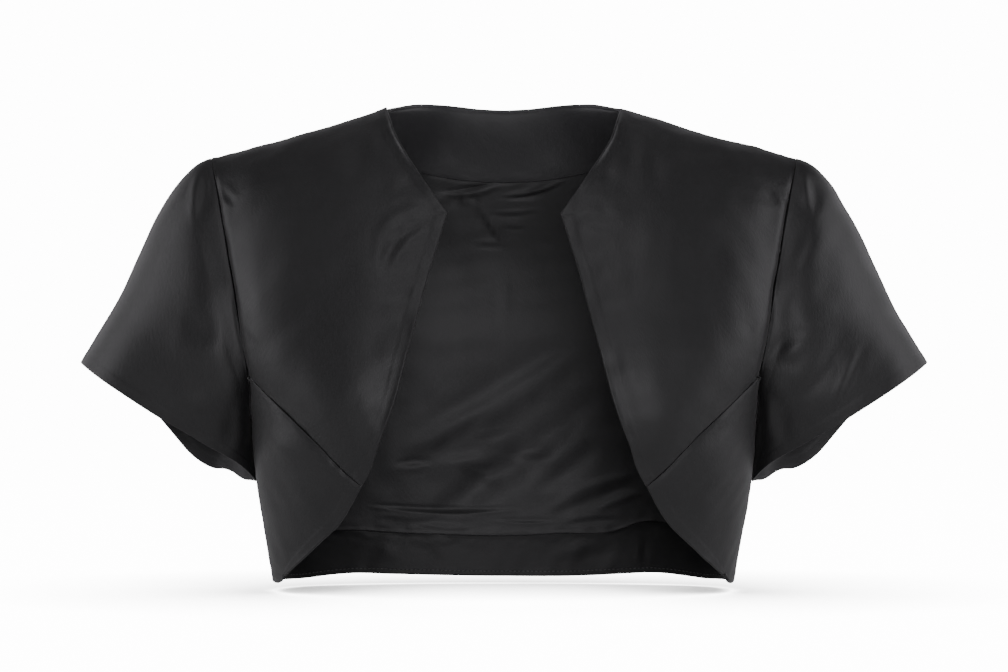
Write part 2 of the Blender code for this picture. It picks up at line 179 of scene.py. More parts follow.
# Creases of the soft cloth, a row each, from end to end as the camera sees them on the plane of the
# shoulders, out from the middle. A ridge has a plus and a hollow a minus depth; bow is how far its
# middle is off the straight line; lean puts a counter-fold on one side of it.
FRONT_CREASES = table(
    "hand out height to_out to_height bow width depth lean",
    (-1, 119.7, -13.3, 162, -38, 2, 5.5, 1.08, 0.5),
    (-1, 99.3, -20, 101.3, -52, 0, 9.9, -0.65, 0),
    (-1, 47.5, -71.4, 39.5, -71, 0, 1.3, -0.7, 0.6),
    (-1, 73, -45, 60, -52, 2, 5.0, -0.5, 0.4),
    (-1, 81, -80, 62, -100, -4, 5.5, 0.5, -0.4),
    (-1, 66, -118, 58, -124, 0, 4.4, 0.43, 0),
    (-1, 92, -140, 72, -150, 3, 7.7, -0.43, 0),
    (-1, 78, -59, 50, -61, -8, 4.0, -0.65, 0.4),
    (-1, 89, -92, 54, -66, -6, 4.6, 0.86, 0),
    (-1, 84, -116, 50, -76, -9, 4.2, -1.08, -0.5),
    (-1, 77, -110, 50, -82, -5, 3.7, 0.94, 0),
    (-1, 86, -128, 54, -110, 6, 4.4, -0.94, 0.5),
    (-1, 70, -136, 55, -128, 2, 4.4, -0.43, 0),
    (-1, 198, -55, 184, -69, 1, 2.6, 0.65, -0.5),
    (-1, 190, -50, 180, -62, 1, 2.9, 0.36, 0),
    (-1, 177, -144, 164, -160, 1, 3.3, 0.36, 0.4),
    (-1, 182, -122, 168, -140, -2, 4.4, -0.36, 0),
    (1, 93.6, -4.4, 143, -27, -2, 5.1, 1.01, -0.5),
    (1, 46.5, -71.4, 39.5, -71, 0, 1.3, -0.7, 0.6),
    (1, 70, -62, 84, -74, -3, 5.5, 0.5, -0.4),
    (1, 58, -84, 80, -96, 2, 5.5, 0.43, 0),
    (1, 60, -108, 76, -112, 1, 5.5, -0.43, 0.3),
    (1, 124, -14, 160, -33, 1, 4.4, 0.65, 0),
    (1, 87.7, -14, 87, -42, 0, 5.5, -0.72, 0.4),
    (1, 98, -26, 106, -50, 0, 5.5, -0.79, -0.5),
    (1, 64, -45, 78, -47, 0, 4.4, -0.58, 0),
    (1, 50, -60, 72, -58, 2, 4.4, 0.5, 0),
    (1, 49, -76, 69, -81, 2, 4.4, -0.65, 0.5),
    (1, 55, -98, 70, -102, 1, 5.5, -0.36, 0),
    (1, 64, -124, 82, -134, 2, 6.6, -0.58, 0.4),
    (1, 182, -56, 193, -72, 1, 2.6, 0.65, 0.5),
    (1, 176, -52, 186, -66, 0, 3.3, -0.36, 0),
    (1, 170, -160, 178, -140, 1, 3.3, 0.36, 0.4),
)
LOWER_CREASES = table(
    "hand out height to_out to_height bow width depth lean",
    (-1, 168, -215, 130, -238, 3, 8, 0.8, 0),
    (-1, 164, -240, 120, -256, -3, 9, -0.8, 0),
    (1, 128, -234, 160, -214, 3, 7, -0.7, 0),
    (1, 150, -280, 132, -262, 2, 8, 0.6, 0),
)
SLEEVE_FRONT_CREASES = table(
    "hand out height to_out to_height bow width depth lean",
    (-1, 206, -40, 212, -78, 1, 3.6, 1.8, -0.6),
    (-1, 188, -118, 178.5, -186, -2, 9, -1.4, 0),
    (-1, 216, -138, 194, -160, 2, 9, -1.4, 0.4),
    (-1, 236, -212, 192, -222, 5, 6, -1.2, 0.5),
    (-1, 232, -190, 196, -204, 3, 7, 0.9, 0),
    (-1, 188, -232, 180, -196, 0, 8, -2.2, 0),
    (1, 204, -42, 210, -72, -2, 3.6, 1.8, 0.6),
    (1, 211, -78, 196, -110, 1, 5, -0.9, 0),
    (1, 188, -118, 178, -186, 2, 9, -1.4, 0),
    (1, 180, -170, 212, -151, 4, 4.4, -1.2, -0.5),
    (1, 181, -172, 203, -176, 1, 4.4, -0.9, 0),
    (1, 200, -200, 231, -154, -3, 6, -1.4, 0.4),
    (1, 244, -158, 224, -204, -2, 2.6, 1.3, 0.7),
    (1, 190, -232, 180, -190, -3, 7, -2.2, 0),
)
SLEEVE_BACK_CREASES = table(
    "hand out height to_out to_height bow width depth lean",
    (-1, 206, -44, 214, -84, 1, 4, 1.6, -0.6),
    (-1, 194, -80, 178, -162, -2, 5, -2.2, 0),
    (-1, 180, -176, 214, -150, 4, 5, -1.8, 0.5),
    (-1, 196, -214, 232, -176, -3, 6, 1.3, 0),
    (1, 205, -42, 211, -80, -1, 4, 1.5, 0.6),
    (1, 195, -84, 178, -158, 2, 5, -2.2, 0),
    (1, 182, -186, 220, -168, 3, 5, -1.6, -0.5),
    (1, 240, -160, 222, -206, -2, 4, 1.1, 0.5),
)
BACK_CREASES = table(
    "hand out height to_out to_height bow width depth lean",
    (1, -170, -190, -96, -158, 8, 7, 1.9, -0.6),
    (1, -168, -206, -110, -190, 5, 6, -1.4, 0),
    (1, 166, -180, 84, -142, -8, 7, 1.8, 0.6),
    (1, 168, -208, 118, -202, -4, 6, -1.5, 0),
    (1, -60, -14, -40, -70, 3, 12, 0.4, 0),
    (1, 62, -14, 46, -60, -2, 12, 0.4, 0.3),
    (1, -150, -34, -110, -52, 2, 6, -1.2, 0.5),
    (1, 148, -36, 104, -48, -3, 6, -1.1, -0.5),
    (1, -70, -250, 30, -292, -6, 9, 1.4, 0.5),
    (1, 112, -250, 20, -270, 5, 9, -1.3, 0.4),
    (1, -126, -270, -60, -300, 4, 8, 1.0, 0),
    (1, 0, -120, 6, -210, 3, 12, -1.0, 0),
)
LINING_CREASES = table(
    "hand out height to_out to_height bow width depth lean",
    (1, -44, -57.5, 2, -47.6, -1.5, 1.7, -1.6, -0.9),
    (1, -29, -53, -6, -47, 0, 1.5, 1.0, 0.6),
    (1, -26, -57, -22, -68, -1, 1.8, 1.4, 0.8),
    (1, -38, -70, -28, -57, 1, 2.6, -0.8, 0),
    (1, -2, -60.5, 43, -49.5, -4.5, 1.6, -1.3, 0.8),
    (1, 16, -57, 34, -50.5, -1, 2.2, 0.8, 0),
    (1, -20, -64, 1, -97, -2, 1.9, -1.5, 0.9),
    (1, -10, -70.2, 24, -69, -1, 1.5, 0.6, -0.8),
    (1, 0, -80.4, 14, -81.6, -1, 1.3, -0.6, 0.8),
    (1, -21, -94, 1, -95.5, 1, 1.5, -0.6, 0.8),
    (1, 22, -90, 35, -93, -1, 2.6, -0.4, 0),
    (1, -52, -66, -36, -60, 1, 3, 0.7, 0),
    (1, 44, -62, 58, -52, 0, 3, -0.6, 0.5),
    (1, -1.6, -100, 0.7, -156, 1.5, 2.6, -0.45, 0.6),
    (1, -70, -234, 58, -160, -5, 8.5, -2.4, -0.5),
    (1, -52, -236, -6, -202, -2, 5.0, 1.2, 0),
    (1, -22, -224, 6, -218, 1, 1.8, -0.8, -0.7),
    (1, -76, -243, -48, -240.5, 1, 2.0, 1.0, -0.6),
    (1, -50, -242.4, 40, -240, 1.5, 4.4, -1.2, 0.5),
    (1, -31, -244, -3, -255, 2, 5.2, 1.7, 0),
    (1, -64, -219, 50, -152, -4, 9, 1.4, 0),
    (1, -56, -283, 66, -193, -3, 11, 4.4, 0),
    (1, 20, -262, 66, -226, -2, 7, 1.8, 0),
    (1, 29, -275, 92, -249, 4, 4.0, -1.4, -0.6),
    (1, 62, -274, 94, -262, 2, 3.0, -1.0, 0.5),
    (1, -96, -269, 10, -271.5, -2.5, 1.5, 1.1, -0.8),
    (1, -92, -276, -12, -278, -1, 3.0, -0.9, 0),
    (1, -8, -279.4, 38, -280, -0.6, 1.2, 0.5, -0.7),
    (1, 40, -284, 78, -280, 1, 2.0, 0.7, 0.5),
    (1, -60, -283, -22, -286, 0, 2.2, -0.5, 0),
)
HEM_CREASES = table(
    "hand out height to_out to_height bow width depth lean",
    (1, -46, -301, -22, -294, 1, 4, 0.6, 0),
    (1, 30, -306, 66, -296, 1, 4, -0.6, 0.4),
    (1, -86, -298, -70, -306, 0, 4, -0.5, 0),
    (1, 92, -288, 93, -317, 0, 1.6, -0.8, 0.8),
    (1, -66, -296, -40, -310, 2, 6, 0.7, 0),
    (1, 44, -312, 80, -300, 2, 7, 0.8, -0.4),
)
NECK_CREASES = table(
    "hand out height to_out to_height bow width depth lean",
    (1, -52, -14, -34, -40, 2, 9, -1.0, 0),
    (1, -8, -6, 6, -44, 2, 12, 0.7, 0),
    (1, 46, -12, 34, -42, -2, 9, -0.8, 0),
)
CREASE_TAPER, CREASE_ENDS = 0.45, 1.2
COUNTER_AT, COUNTER_WIDTH = 1.8, 1.3
CREASE_CALM, INNER_CALM_REACH = 0.85, 1.5
CAMERA_AWAY, CAMERA_HEIGHT, LENS = 2600.0, -155.0, 136.6

# How finely each piece is made, and how its points are spread.
UPPER_COLUMNS, UPPER_ROWS = 100, (64, 86)
LOWER_COLUMNS, LOWER_ROWS, LOWER_ROUNDS = 70, 80, 60
SLEEVE_RINGS, SLEEVE_POINTS = 84, 128
BACK_COLUMNS, BACK_ROWS, BACK_CLOSENESS = 150, 130, 0.5
INNER_COLUMNS, FACING_COLUMNS, INNER_CLOSENESS = 170, 110, 0.4
FANNED = 1.4

# Sewing, in millimetres: how an edge of each kind is finished. The roll is how round its edge is,
# and the ridge is where the turned-in allowance shows through.
WALL = 1.3
INNER_WALL = 0.8
LAYER_GAP = 0.6
LAYER_SLACK = 1.6
LAYER_KEPT = 0.4
INNER_START = 0.0016
INNER_SEAM = 0.0004
INNER_SIDE = 0.012
NECK_FACING_SIDE, FACING_START_SIDE, FACING_START_REACH = 0.165, 0.153, 0.01
INNER_END = 0.9985
EDGES = {
    "seam": dict(roll=0.5, gap=0.05, dip=0.4, dip_reach=1.8, pucker=0.12, ridge=0.0),
    "lapped": dict(roll=0.5, gap=0.05, dip=0.4, dip_reach=1.8, pucker=0.08, ridge=0.0, lap=2.4),
    "inner_seam": dict(roll=0.3, gap=0.02, dip=0.25, dip_reach=1.3, pucker=0.2, ridge=0.0),
    "free": dict(roll=0.7, gap=0.0, dip=0.0, dip_reach=1.0, pucker=0.05, ridge=0.22),
    "neckline": dict(roll=0.7, gap=0.0, dip=0.0, dip_reach=1.0, pucker=0.08, ridge=0.25, soft=0.15),
    "rolled": dict(roll=0.4, gap=0.0, dip=0.0, dip_reach=1.0, pucker=0.1, ridge=0.0, groove=0.35),
    "hidden": dict(roll=0.3, gap=0.0, dip=0.0, dip_reach=1.0, pucker=0.05, ridge=0.0),
}
SOFT_SIZE, SOFT_REACH = 15.0, 26.0
GROOVE_AT, GROOVE_WIDTH = 2.2, 0.8
EDGE_FALL, EDGE_FALL_REACH, EDGE_FALL_START = 2.0, 34.0, 0.3
WIDE_RIPPLE, WIDE_RIPPLE_SIZE = 0.35, 46
SMALL_RIPPLE, SMALL_RIPPLE_SIZE = 0.12, 17
PUCKER_SIZE, FINE_PUCKER, FINE_PUCKER_SIZE = 9, 0.6, 5
ALLOWANCE = 7.0
ALLOWANCE_EDGE = 1.1
PUCKER_REACH = 7.0
PRESSED_REACH = 1.6
RIM_ANGLES = np.radians([30, 60, 90, 120, 150])
LAP_DEPTH, LAP_FADE, LAP_START, LAP_LEAVES = 0.35, 5.0, 0.2, 0.9
TINY = 1e-9


def smooth(at, knots, values):
    """A smooth curve through a table's values, or through rows of points."""
    at = np.clip(at, knots[0], knots[-1])
    rest = (1,) * (np.ndim(values) - 1)
    gap = np.diff(knots).reshape((-1,) + rest)
    slope = np.diff(values, axis=0) / gap
    middle = (slope[:-1] * gap[1:] + slope[1:] * gap[:-1]) / (gap[:-1] + gap[1:])
    tangent = np.concatenate([slope[:1], middle, slope[-1:]])
    i = np.clip(np.searchsorted(knots, at, side="right") - 1, 0, len(gap) - 1)
    t = (at - knots[i]).reshape(np.shape(at) + rest) / gap[i]
    start = (2 * t**3 - 3 * t**2 + 1) * values[i] + (t**3 - 2 * t**2 + t) * gap[i] * tangent[i]
    end = (3 * t**2 - 2 * t**3) * values[i + 1] + (t**3 - t**2) * gap[i] * tangent[i + 1]
    return start + end


def squareness(z, side):
    """How square the section at that height is, in front or behind."""
    return smooth(-z, TORSO["drop"], TORSO["squareness"]) if side < 0 else BACK_SQUARENESS


def torso_turn(x, z, side):
    """How far round the torso a point is: none at the centre, a quarter turn at the side."""
    share = np.clip(np.abs(x) / smooth(-z, TORSO["drop"], TORSO["half_width"]), 0, 1)
    return np.arcsin(share ** (squareness(z, side) / 2)) * np.sign(x)


def torso(turn, z, side):
    """Points of the filled-out torso; side is -1 in front and 1 behind."""
    power = 2 / squareness(z, side)
    x = smooth(-z, TORSO["drop"], TORSO["half_width"]) * np.abs(np.sin(turn)) ** power
    ridge = RIDGE_IN_FRONT if side < 0 else RIDGE_BEHIND
    below = np.clip((smooth(x, ridge["out"], ridge["height"]) - z) / ROUND_OVER, 0, 1)
    depth = smooth(-z, TORSO["drop"], TORSO["front" if side < 0 else "back"])
    y = side * depth * np.abs(np.cos(turn)) ** power * np.sqrt(1 - (1 - below) ** 2)
    return np.stack([x * np.sign(turn), y, z + 0 * turn], axis=-1)


def armhole(turn):
    """Points of the +X armhole, from the shoulder at 0 by the front to the underarm at half a turn."""
    drop = ARMHOLE_TOP + (UNDERARM - ARMHOLE_TOP) * (1 - np.cos(turn)) / 2
    out = smooth(drop, ARMHOLE["drop"], ARMHOLE["out"])
    depth = np.where(np.sin(turn) > 0, ARMHOLE_FRONT, ARMHOLE_BACK)
    y = -depth * np.sin(turn) * (1 - ARMHOLE_EGG * np.cos(turn))
    return np.stack([out, y, -drop], axis=-1)


def line(edge, side=0, fine=400):
    """A smooth line through an edge's table, laid on the torso in front or behind."""
    corner = np.concatenate([[0], np.cumsum(np.hypot(np.diff(edge["out"]), np.diff(edge["height"])))])
    at = np.linspace(0, corner[-1], fine)
    x, z = (smooth(at, corner, edge[k]) for k in ("out", "height"))
    return torso(torso_turn(x, z, side), z, side) if side else np.stack([x, 0 * x, z], axis=-1)


def along(points, share):
    """The points at these shares of a line's length."""
    length = np.concatenate([[0], np.cumsum(np.linalg.norm(np.diff(points, axis=0), axis=1))])
    return np.stack([np.interp(share * length[-1], length, points[:, k]) for k in range(3)], axis=-1)


def edge(share, *stretches):
    """Points along an edge of several stretches, each given as the share where it ends and its line."""
    points, start = np.empty((len(share), 3)), 0.0
    for end, stretch in stretches:
        inside = (share >= start) & (share <= end)
        points[inside] = along(stretch, (share[inside] - start) / (end - start))
        start = end
    return points


def corner_rows(corner, above, below):
    """Shares from 0 to 1 with one right at a corner, and others close to it."""
    return np.concatenate([corner * graded(above), corner + (1 - corner) * graded(below)[1:]])


def graded(steps, closeness=0.7):
    """Shares from 0 to 1 that lie closer together near both ends."""
    t = np.linspace(0, 1, steps + 1)
    return t - closeness * np.sin(2 * math.pi * t) / (2 * math.pi)


def filled(across, down, left, right, top, bottom, fall=2.0, start=1.0):
    """Values inside a four-sided piece, from those along its sides."""
    u, v = across[None, :, None], down[:, None, None] ** start
    made = (1 - v) * top[None] + v * bottom[None]
    off_left, off_right = left[:, None] - made[:, :1], right[:, None] - made[:, -1:]
    return made + (1 - u) ** fall * off_left + u**fall * off_right


def unit(vectors):
    """The vectors made one long."""
    return vectors / np.maximum(np.linalg.norm(vectors, axis=-1, keepdims=True), TINY)


def normals(grid, closed=False):
    """The direction at each point that is square to the cloth."""
    if closed:
        rows = np.concatenate([grid[:, -1:], grid, grid[:, :1]], axis=1)
        across = np.gradient(rows, axis=1)[:, 1:-1]
    else:
        across = np.gradient(grid, axis=1)
    return unit(np.cross(across, np.gradient(grid, axis=0)))


def folds_at(grid, side, hand):
    """How far the fullness and folds of that side stand out at each point of a +X grid."""
    height = np.zeros(grid.shape[:2])
    for k in range(len(FOLDS["side"])):
        f = {name: column[k] for name, column in FOLDS.items()}
        if f["side"] != side or f["hand"] not in (0, hand):
            continue
        for mirror in ((1, -1) if f["hand"] == 0 else (1,)):
            x, z = grid[..., 0] * mirror - f["out"], grid[..., 2] - f["height"]
            a = math.radians(f["angle"])
            forward, off = x * math.cos(a) + z * math.sin(a), z * math.cos(a) - x * math.sin(a)
            end = np.clip(np.abs(forward) / (f["length"] / 2), 0, 1)
            height += f["depth"] * np.exp(-((off / f["width"]) ** 2)) * np.cos(end * math.pi / 2) ** 2
    return height


def creases_at(grid, creases, hand):
    """How far the creases stand out at each point of a grid, as the camera sees them."""
    near = CAMERA_AWAY / (CAMERA_AWAY + grid[..., 1])
    x, z = grid[..., 0] * near, CAMERA_HEIGHT + (grid[..., 2] - CAMERA_HEIGHT) * near
    height = np.zeros(grid.shape[:2])
    for k in range(len(creases["hand"])):
        c = {name: column[k] for name, column in creases.items()}
        if c["hand"] != hand:
            continue
        dx, dz = c["to_out"] - c["out"], c["to_height"] - c["height"]
        length = math.hypot(dx, dz)
        dx, dz = dx / length, dz / length
        t = ((x - c["out"]) * dx + (z - c["height"]) * dz) / length
        t = np.clip(t, 0, 1)
        off = (z - c["height"]) * dx - (x - c["out"]) * dz - c["bow"] * 4 * t * (1 - t)
        width = c["width"] * (1 - CREASE_TAPER + CREASE_TAPER * np.sin(math.pi * t))
        shape = np.exp(-((off / width) ** 2))
        if c["lean"]:
            counter = (off - np.sign(c["lean"]) * COUNTER_AT * width) / (COUNTER_WIDTH * width)
            shape -= abs(c["lean"]) * np.exp(-(counter**2))
        height += c["depth"] * shape * np.sin(math.pi * t) ** CREASE_ENDS
    return height


def panel(across, down, side, hand, left, right, top, bottom, start=1.0):
    """A piece of the torso between four edges, as a grid of points with a row for each share down."""
    edges = (left, right, top, bottom)
    flat = [np.stack([torso_turn(e[:, 0], e[:, 2], side), e[:, 2]], axis=-1) for e in edges]
    inside = filled(across, down, *flat, start=start)
    grid = torso(inside[..., 0], inside[..., 1], side)
    missed = [e - torso(f[:, 0], f[:, 1], side) for e, f in zip(edges, flat)]
    grid += filled(across, down, *missed)
    calm = np.outer(1 - np.abs(2 * down - 1) ** 6, 1 - np.abs(2 * across - 1) ** 6)
    n = normals(grid)
    n *= np.sign((n * np.array([0, side, 0.0])).sum())
    return grid + n * (folds_at(grid, side, hand) * calm)[..., None]


def relaxed(grid, rounds=140):
    """The grid with its form evened out, while its edges stay where they are."""
    grid = grid.copy()
    for _ in range(rounds):
        around = grid[:-2, 1:-1] + grid[2:, 1:-1] + grid[1:-1, :-2] + grid[1:-1, 2:]
        grid[1:-1, 1:-1] += 0.5 * (around / 4 - grid[1:-1, 1:-1])
    return grid


def moved(grid, height, side):
    """The grid moved out by a height at each point, on the front or the back."""
    n = normals(grid)
    n *= np.sign((n * np.array([0, side, 0.0])).sum())
    return grid + n * height[..., None]


def calm_edges(grid, reach=5.0):
    """How little of a crease reaches the edges of a grid."""
    calm = np.ones(grid.shape[:2])
    for axis in (0, 1):
        for far in distances(grid, axis):
            calm *= 1 - CREASE_CALM * np.exp(-((far / reach) ** 2))
    return calm


def folded_front(grid, from_end, creases, hand):
    """A front panel with its creases, and with its open edge falling back from the chest."""
    fall = EDGE_FALL * np.exp(-((distances(grid, 1)[0] / EDGE_FALL_REACH) ** 2))
    fall = fall * np.clip(from_end / EDGE_FALL_START, 0, 1)[:, None]
    return moved(grid, creases_at(grid, creases, hand) * calm_edges(grid) - fall, -1)


def front_upper(hand):
    across, down = graded(UPPER_COLUMNS), corner_rows(NECKLINE_END, *UPPER_ROWS)
    shoulder = along(line(SHOULDER), across)
    seam = along(line(PANEL_SEAM, -1), across)
    inner = edge(down, (NECKLINE_END, line(NECKLINE, -1)), (1, line(FRONT_EDGE, -1)))
    outer = along(armhole(np.linspace(0, PANEL_SEAM_TURN, 400)), down)
    inner[0], outer[0], inner[-1], seam[-1] = shoulder[0], shoulder[-1], seam[0], outer[-1]
    grid = relaxed(panel(across, down, -1, hand, inner, outer, shoulder, seam, start=FANNED))
    return folded_front(grid, down, FRONT_CREASES, hand)


def side_seam():
    """The line down the +X side from the underarm to the hem."""
    z = -np.linspace(UNDERARM, HEM_AT_SIDE, 200)
    return torso(np.full(200, math.pi / 2), z, -1)


def front_lower(hand):
    across, down = graded(LOWER_COLUMNS), graded(LOWER_ROWS)
    underarm = armhole(np.linspace(PANEL_SEAM_TURN, math.pi, 200))
    seam = along(line(PANEL_SEAM, -1), across)
    inner = along(line(TIP_EDGE, -1), down)
    outer = edge(down, (UNDERARM_END, underarm), (1, side_seam()))
    tip = along(line(TIP, -1), across)
    seam[0], seam[-1], tip[0], tip[-1] = inner[0], outer[0], inner[-1], outer[-1]
    grid = relaxed(panel(across, down, -1, hand, inner, outer, seam, tip), LOWER_ROUNDS)
    return folded_front(grid, 1 - down, LOWER_CREASES, hand)


def back_form():
    """The whole back, from -X to +X, between the shoulders, the neck, the armholes and the hem."""
    across = down = BACK_SHARES
    shoulder, neck = line(SHOULDER), line(BACK_NECK, 1)
    turn = np.linspace(-math.pi / 2, math.pi / 2, 600)
    hem = torso(turn, -(HEM_AT_SIDE + (HEM_AT_CENTRE - HEM_AT_SIDE) * np.cos(turn)), 1)
    hem[:, 2] += smooth(hem[:, 0], HEM_WAVE["out"], HEM_WAVE["up"])
    top = edge(
        across, (NECK_START, shoulder[::-1] * MIRROR), (NECK_MIDDLE, neck * MIRROR),
        (1 - NECK_START, neck[::-1]), (1, shoulder),
    )
    bottom = along(hem, across)
    right = edge(down, (BACK_UNDERARM, armhole(-np.linspace(0, math.pi, 600))), (1, side_seam()))
    left = right * MIRROR
    bottom[0], bottom[-1], top[0], top[-1] = left[-1], right[-1], left[0], right[0]
    return relaxed(panel(across, down, 1, 1, left, right, top, bottom, start=FANNED))


def back_panel(across, down):
    """The back's form at these shares across and down, the same for all its layers."""
    rows = smooth(down, BACK_SHARES, BACK_FORM)
    return np.moveaxis(smooth(across, BACK_SHARES, np.moveaxis(rows, 1, 0)), 0, 1)


BACK_SHARES = np.linspace(0, 1, 201)
BACK_FORM = back_form()


def slack_at(down):
    """How far inside the back's wall the inner pieces hang, at these shares down."""
    return LAYER_GAP + LAYER_SLACK * (1 - np.abs(2 * down - 1) ** 4)


def inside_back(across, start, end, steps, creases):
    """A piece on the inner face of the back, between two shares down each of its columns.

    Its hollows stop short of the wall of the back.
    """
    whole = back_panel(across, BACK_SHARES)
    whole = whole - normals(whole) * (WALL + slack_at(BACK_SHARES))[:, None, None]
    down = start + (end - start) * graded(steps)[:, None]
    columns = [smooth(down[:, k], BACK_SHARES, whole[:, k]) for k in range(len(across))]
    grid = np.stack(columns, axis=1)
    height = creases_at(grid, creases, 1) * calm_edges(grid, INNER_CALM_REACH)
    room = slack_at(down) + creases_at(grid, BACK_CREASES, 1) - LAYER_KEPT
    room = np.maximum(room, LAYER_KEPT)
    height = np.where(height < 0, room * np.tanh(height / room), height)
    return grid - normals(grid) * height[..., None]


def facing_edge(across):
    """How far down the back the neck facing reaches."""
    reach = smooth(0.5 - np.abs(across - 0.5), FACING_EDGE["across"], FACING_EDGE["down"])
    side = np.minimum(across, 1 - across)
    beside = np.clip((side - FACING_START_SIDE) / FACING_START_REACH, 0, 1)
    return INNER_START + (reach - INNER_START) * beside


def sleeve(hand):
    """The +X sleeve as rings from the armhole to the hem."""
    share = graded(SLEEVE_RINGS)
    turn = np.linspace(0, 2 * math.pi, SLEEVE_POINTS + 1)[:-1]
    top, under = (along(line(e), share)[:, None] for e in (SLEEVE_TOP, SLEEVE_UNDER))
    s = share[:, None]
    down = (1 - np.cos(turn)) / 2
    grid = top + (under - top) * down[:, None]
    on_line = ARMHOLE["out"][0] + (ARMHOLE["out"][-1] - ARMHOLE["out"][0]) * down
    grid[..., 0] += (armhole(turn)[:, 0] - on_line) * (1 - s) ** 2 + SLEEVE_SHIFT
    depth = {k: smooth(s, SLEEVE_DEPTH["share"], SLEEVE_DEPTH[k]) for k in ("front", "back", "egg")}
    reach = np.where(np.sin(turn) > 0, depth["front"], depth["back"])
    grid[..., 1] -= reach * np.sin(turn) * (1 - depth["egg"] * np.cos(turn))
    grid[..., 2] -= s**2 * smooth(np.degrees(turn), SLEEVE_HEM["turn"], SLEEVE_HEM["drop"])
    outward = grid - grid.mean(axis=1, keepdims=True)
    outward /= np.linalg.norm(outward, axis=-1, keepdims=True)
    height = np.zeros(grid.shape[:2])
    for k in range(len(SLEEVE_FOLDS["turn"])):
        f = {name: column[k] for name, column in SLEEVE_FOLDS.items()}
        round_it = (np.degrees(turn) - f["turn"] + 180) % 360 - 180
        far = (round_it / f["turn_size"]) ** 2 + ((s - f["share"]) / f["share_size"]) ** 2
        height += f["depth"] * np.exp(-far) * np.clip(s / FOLD_START, 0, 1)
    grid = grid + outward * height[..., None]
    height = np.zeros(grid.shape[:2])
    for side, creases in ((1, SLEEVE_FRONT_CREASES), (-1, SLEEVE_BACK_CREASES)):
        on_face = np.clip(side * np.sin(turn) * FACE_SHARPNESS - FACE_START, 0, 1)
        height += creases_at(grid, creases, hand) * on_face
    calm = 1 - np.exp(-((s / CALM_RING) ** 2))
    return grid + normals(grid, closed=True) * (height * calm)[..., None]


def ripple(points, size, seed, count=7):
    """Uneven waves of about that size, the same each time."""
    draw = np.random.default_rng(seed)
    height = np.zeros(points.shape[:-1])
    for _ in range(count):
        way = draw.normal(size=3)
        way *= 2 * math.pi / (size * draw.uniform(0.7, 1.6)) / np.linalg.norm(way)
        height += np.sin(points @ way + draw.uniform(0, 2 * math.pi))
    return height / count**0.5


def resampled(grid, start, end, axis):
    """The grid with its rows or columns drawn in from their two ends by these lengths."""
    lines = np.moveaxis(grid, axis, 0)
    made = np.empty_like(lines)
    for k in range(lines.shape[1]):
        one = lines[:, k]
        length = np.concatenate([[0], np.cumsum(np.linalg.norm(np.diff(one, axis=0), axis=1))])
        at = start + (length[-1] - start - end) * length / length[-1]
        for i in range(3):
            made[:, k, i] = np.interp(at, length, one[:, i])
    return np.moveaxis(made, 0, axis)


def distances(grid, axis):
    """How far each point is from the first and from the last point of its row or column."""
    step = np.linalg.norm(np.diff(grid, axis=axis), axis=-1)
    zero = np.zeros_like(step.take([0], axis))
    far = np.concatenate([zero, np.cumsum(step, axis=axis)], axis)
    return far, far.take([-1], axis) - far


def sewn(grid, kinds, outward, seed, closed=False, seen=1):
    """The grid drawn in at its edges and dressed with seam dips, puckers and pressed ridges.

    Seen is 1 where the outer face shows and -1 where the inner one does.
    """
    inset = {k: EDGES[v]["roll"] + EDGES[v]["gap"] for k, v in kinds.items()}
    grid = resampled(grid, inset["top"], inset["bottom"], 0)
    if not closed:
        grid = resampled(grid, inset["left"], inset["right"], 1)
    n = normals(grid, closed) * outward
    from_top, from_bottom = distances(grid, 0)
    from_left, from_right = distances(grid, 1)
    height = WIDE_RIPPLE * ripple(grid, WIDE_RIPPLE_SIZE, seed)
    height += SMALL_RIPPLE * ripple(grid, SMALL_RIPPLE_SIZE, seed + 1)
    pressed, dip = np.zeros(height.shape), np.zeros(height.shape)
    for k, name in enumerate(("top", "bottom", "left", "right")):
        if name not in kinds:
            continue
        e = EDGES[kinds[name]]
        d = {"top": from_top, "bottom": from_bottom, "left": from_left, "right": from_right}[name]
        dip = np.maximum(dip, e["dip"] * np.exp(-((d / e["dip_reach"]) ** 2)))
        height -= seen * e.get("groove", 0) * np.exp(-(((d - GROOVE_AT) / GROOVE_WIDTH) ** 2))
        soft = e.get("soft", 0) * ripple(grid, SOFT_SIZE, seed + 30)
        height += soft * np.exp(-((d / SOFT_REACH) ** 2))
        waves = ripple(grid, PUCKER_SIZE, seed + 10 + k)
        waves += FINE_PUCKER * ripple(grid, FINE_PUCKER_SIZE, seed + 20 + k)
        height += e["pucker"] * waves * np.exp(-d / PUCKER_REACH)
        height += e["ridge"] * (1 - np.tanh(1.5 * (d - ALLOWANCE) / ALLOWANCE_EDGE)) / 2
        pressed = np.maximum(pressed, np.exp(-((d / PRESSED_REACH) ** 2)))
    return grid + n * (height - seen * dip)[..., None], pressed


def add_object(name, data):
    """A new object in the scene."""
    made = bpy.data.objects.new(name, data)
    bpy.context.scene.collection.objects.link(made)
    return made


def strip(ring, beyond):
    """The faces between two rings of points."""
    return np.stack([np.roll(ring, -1), ring, beyond, np.roll(beyond, -1)], axis=-1)


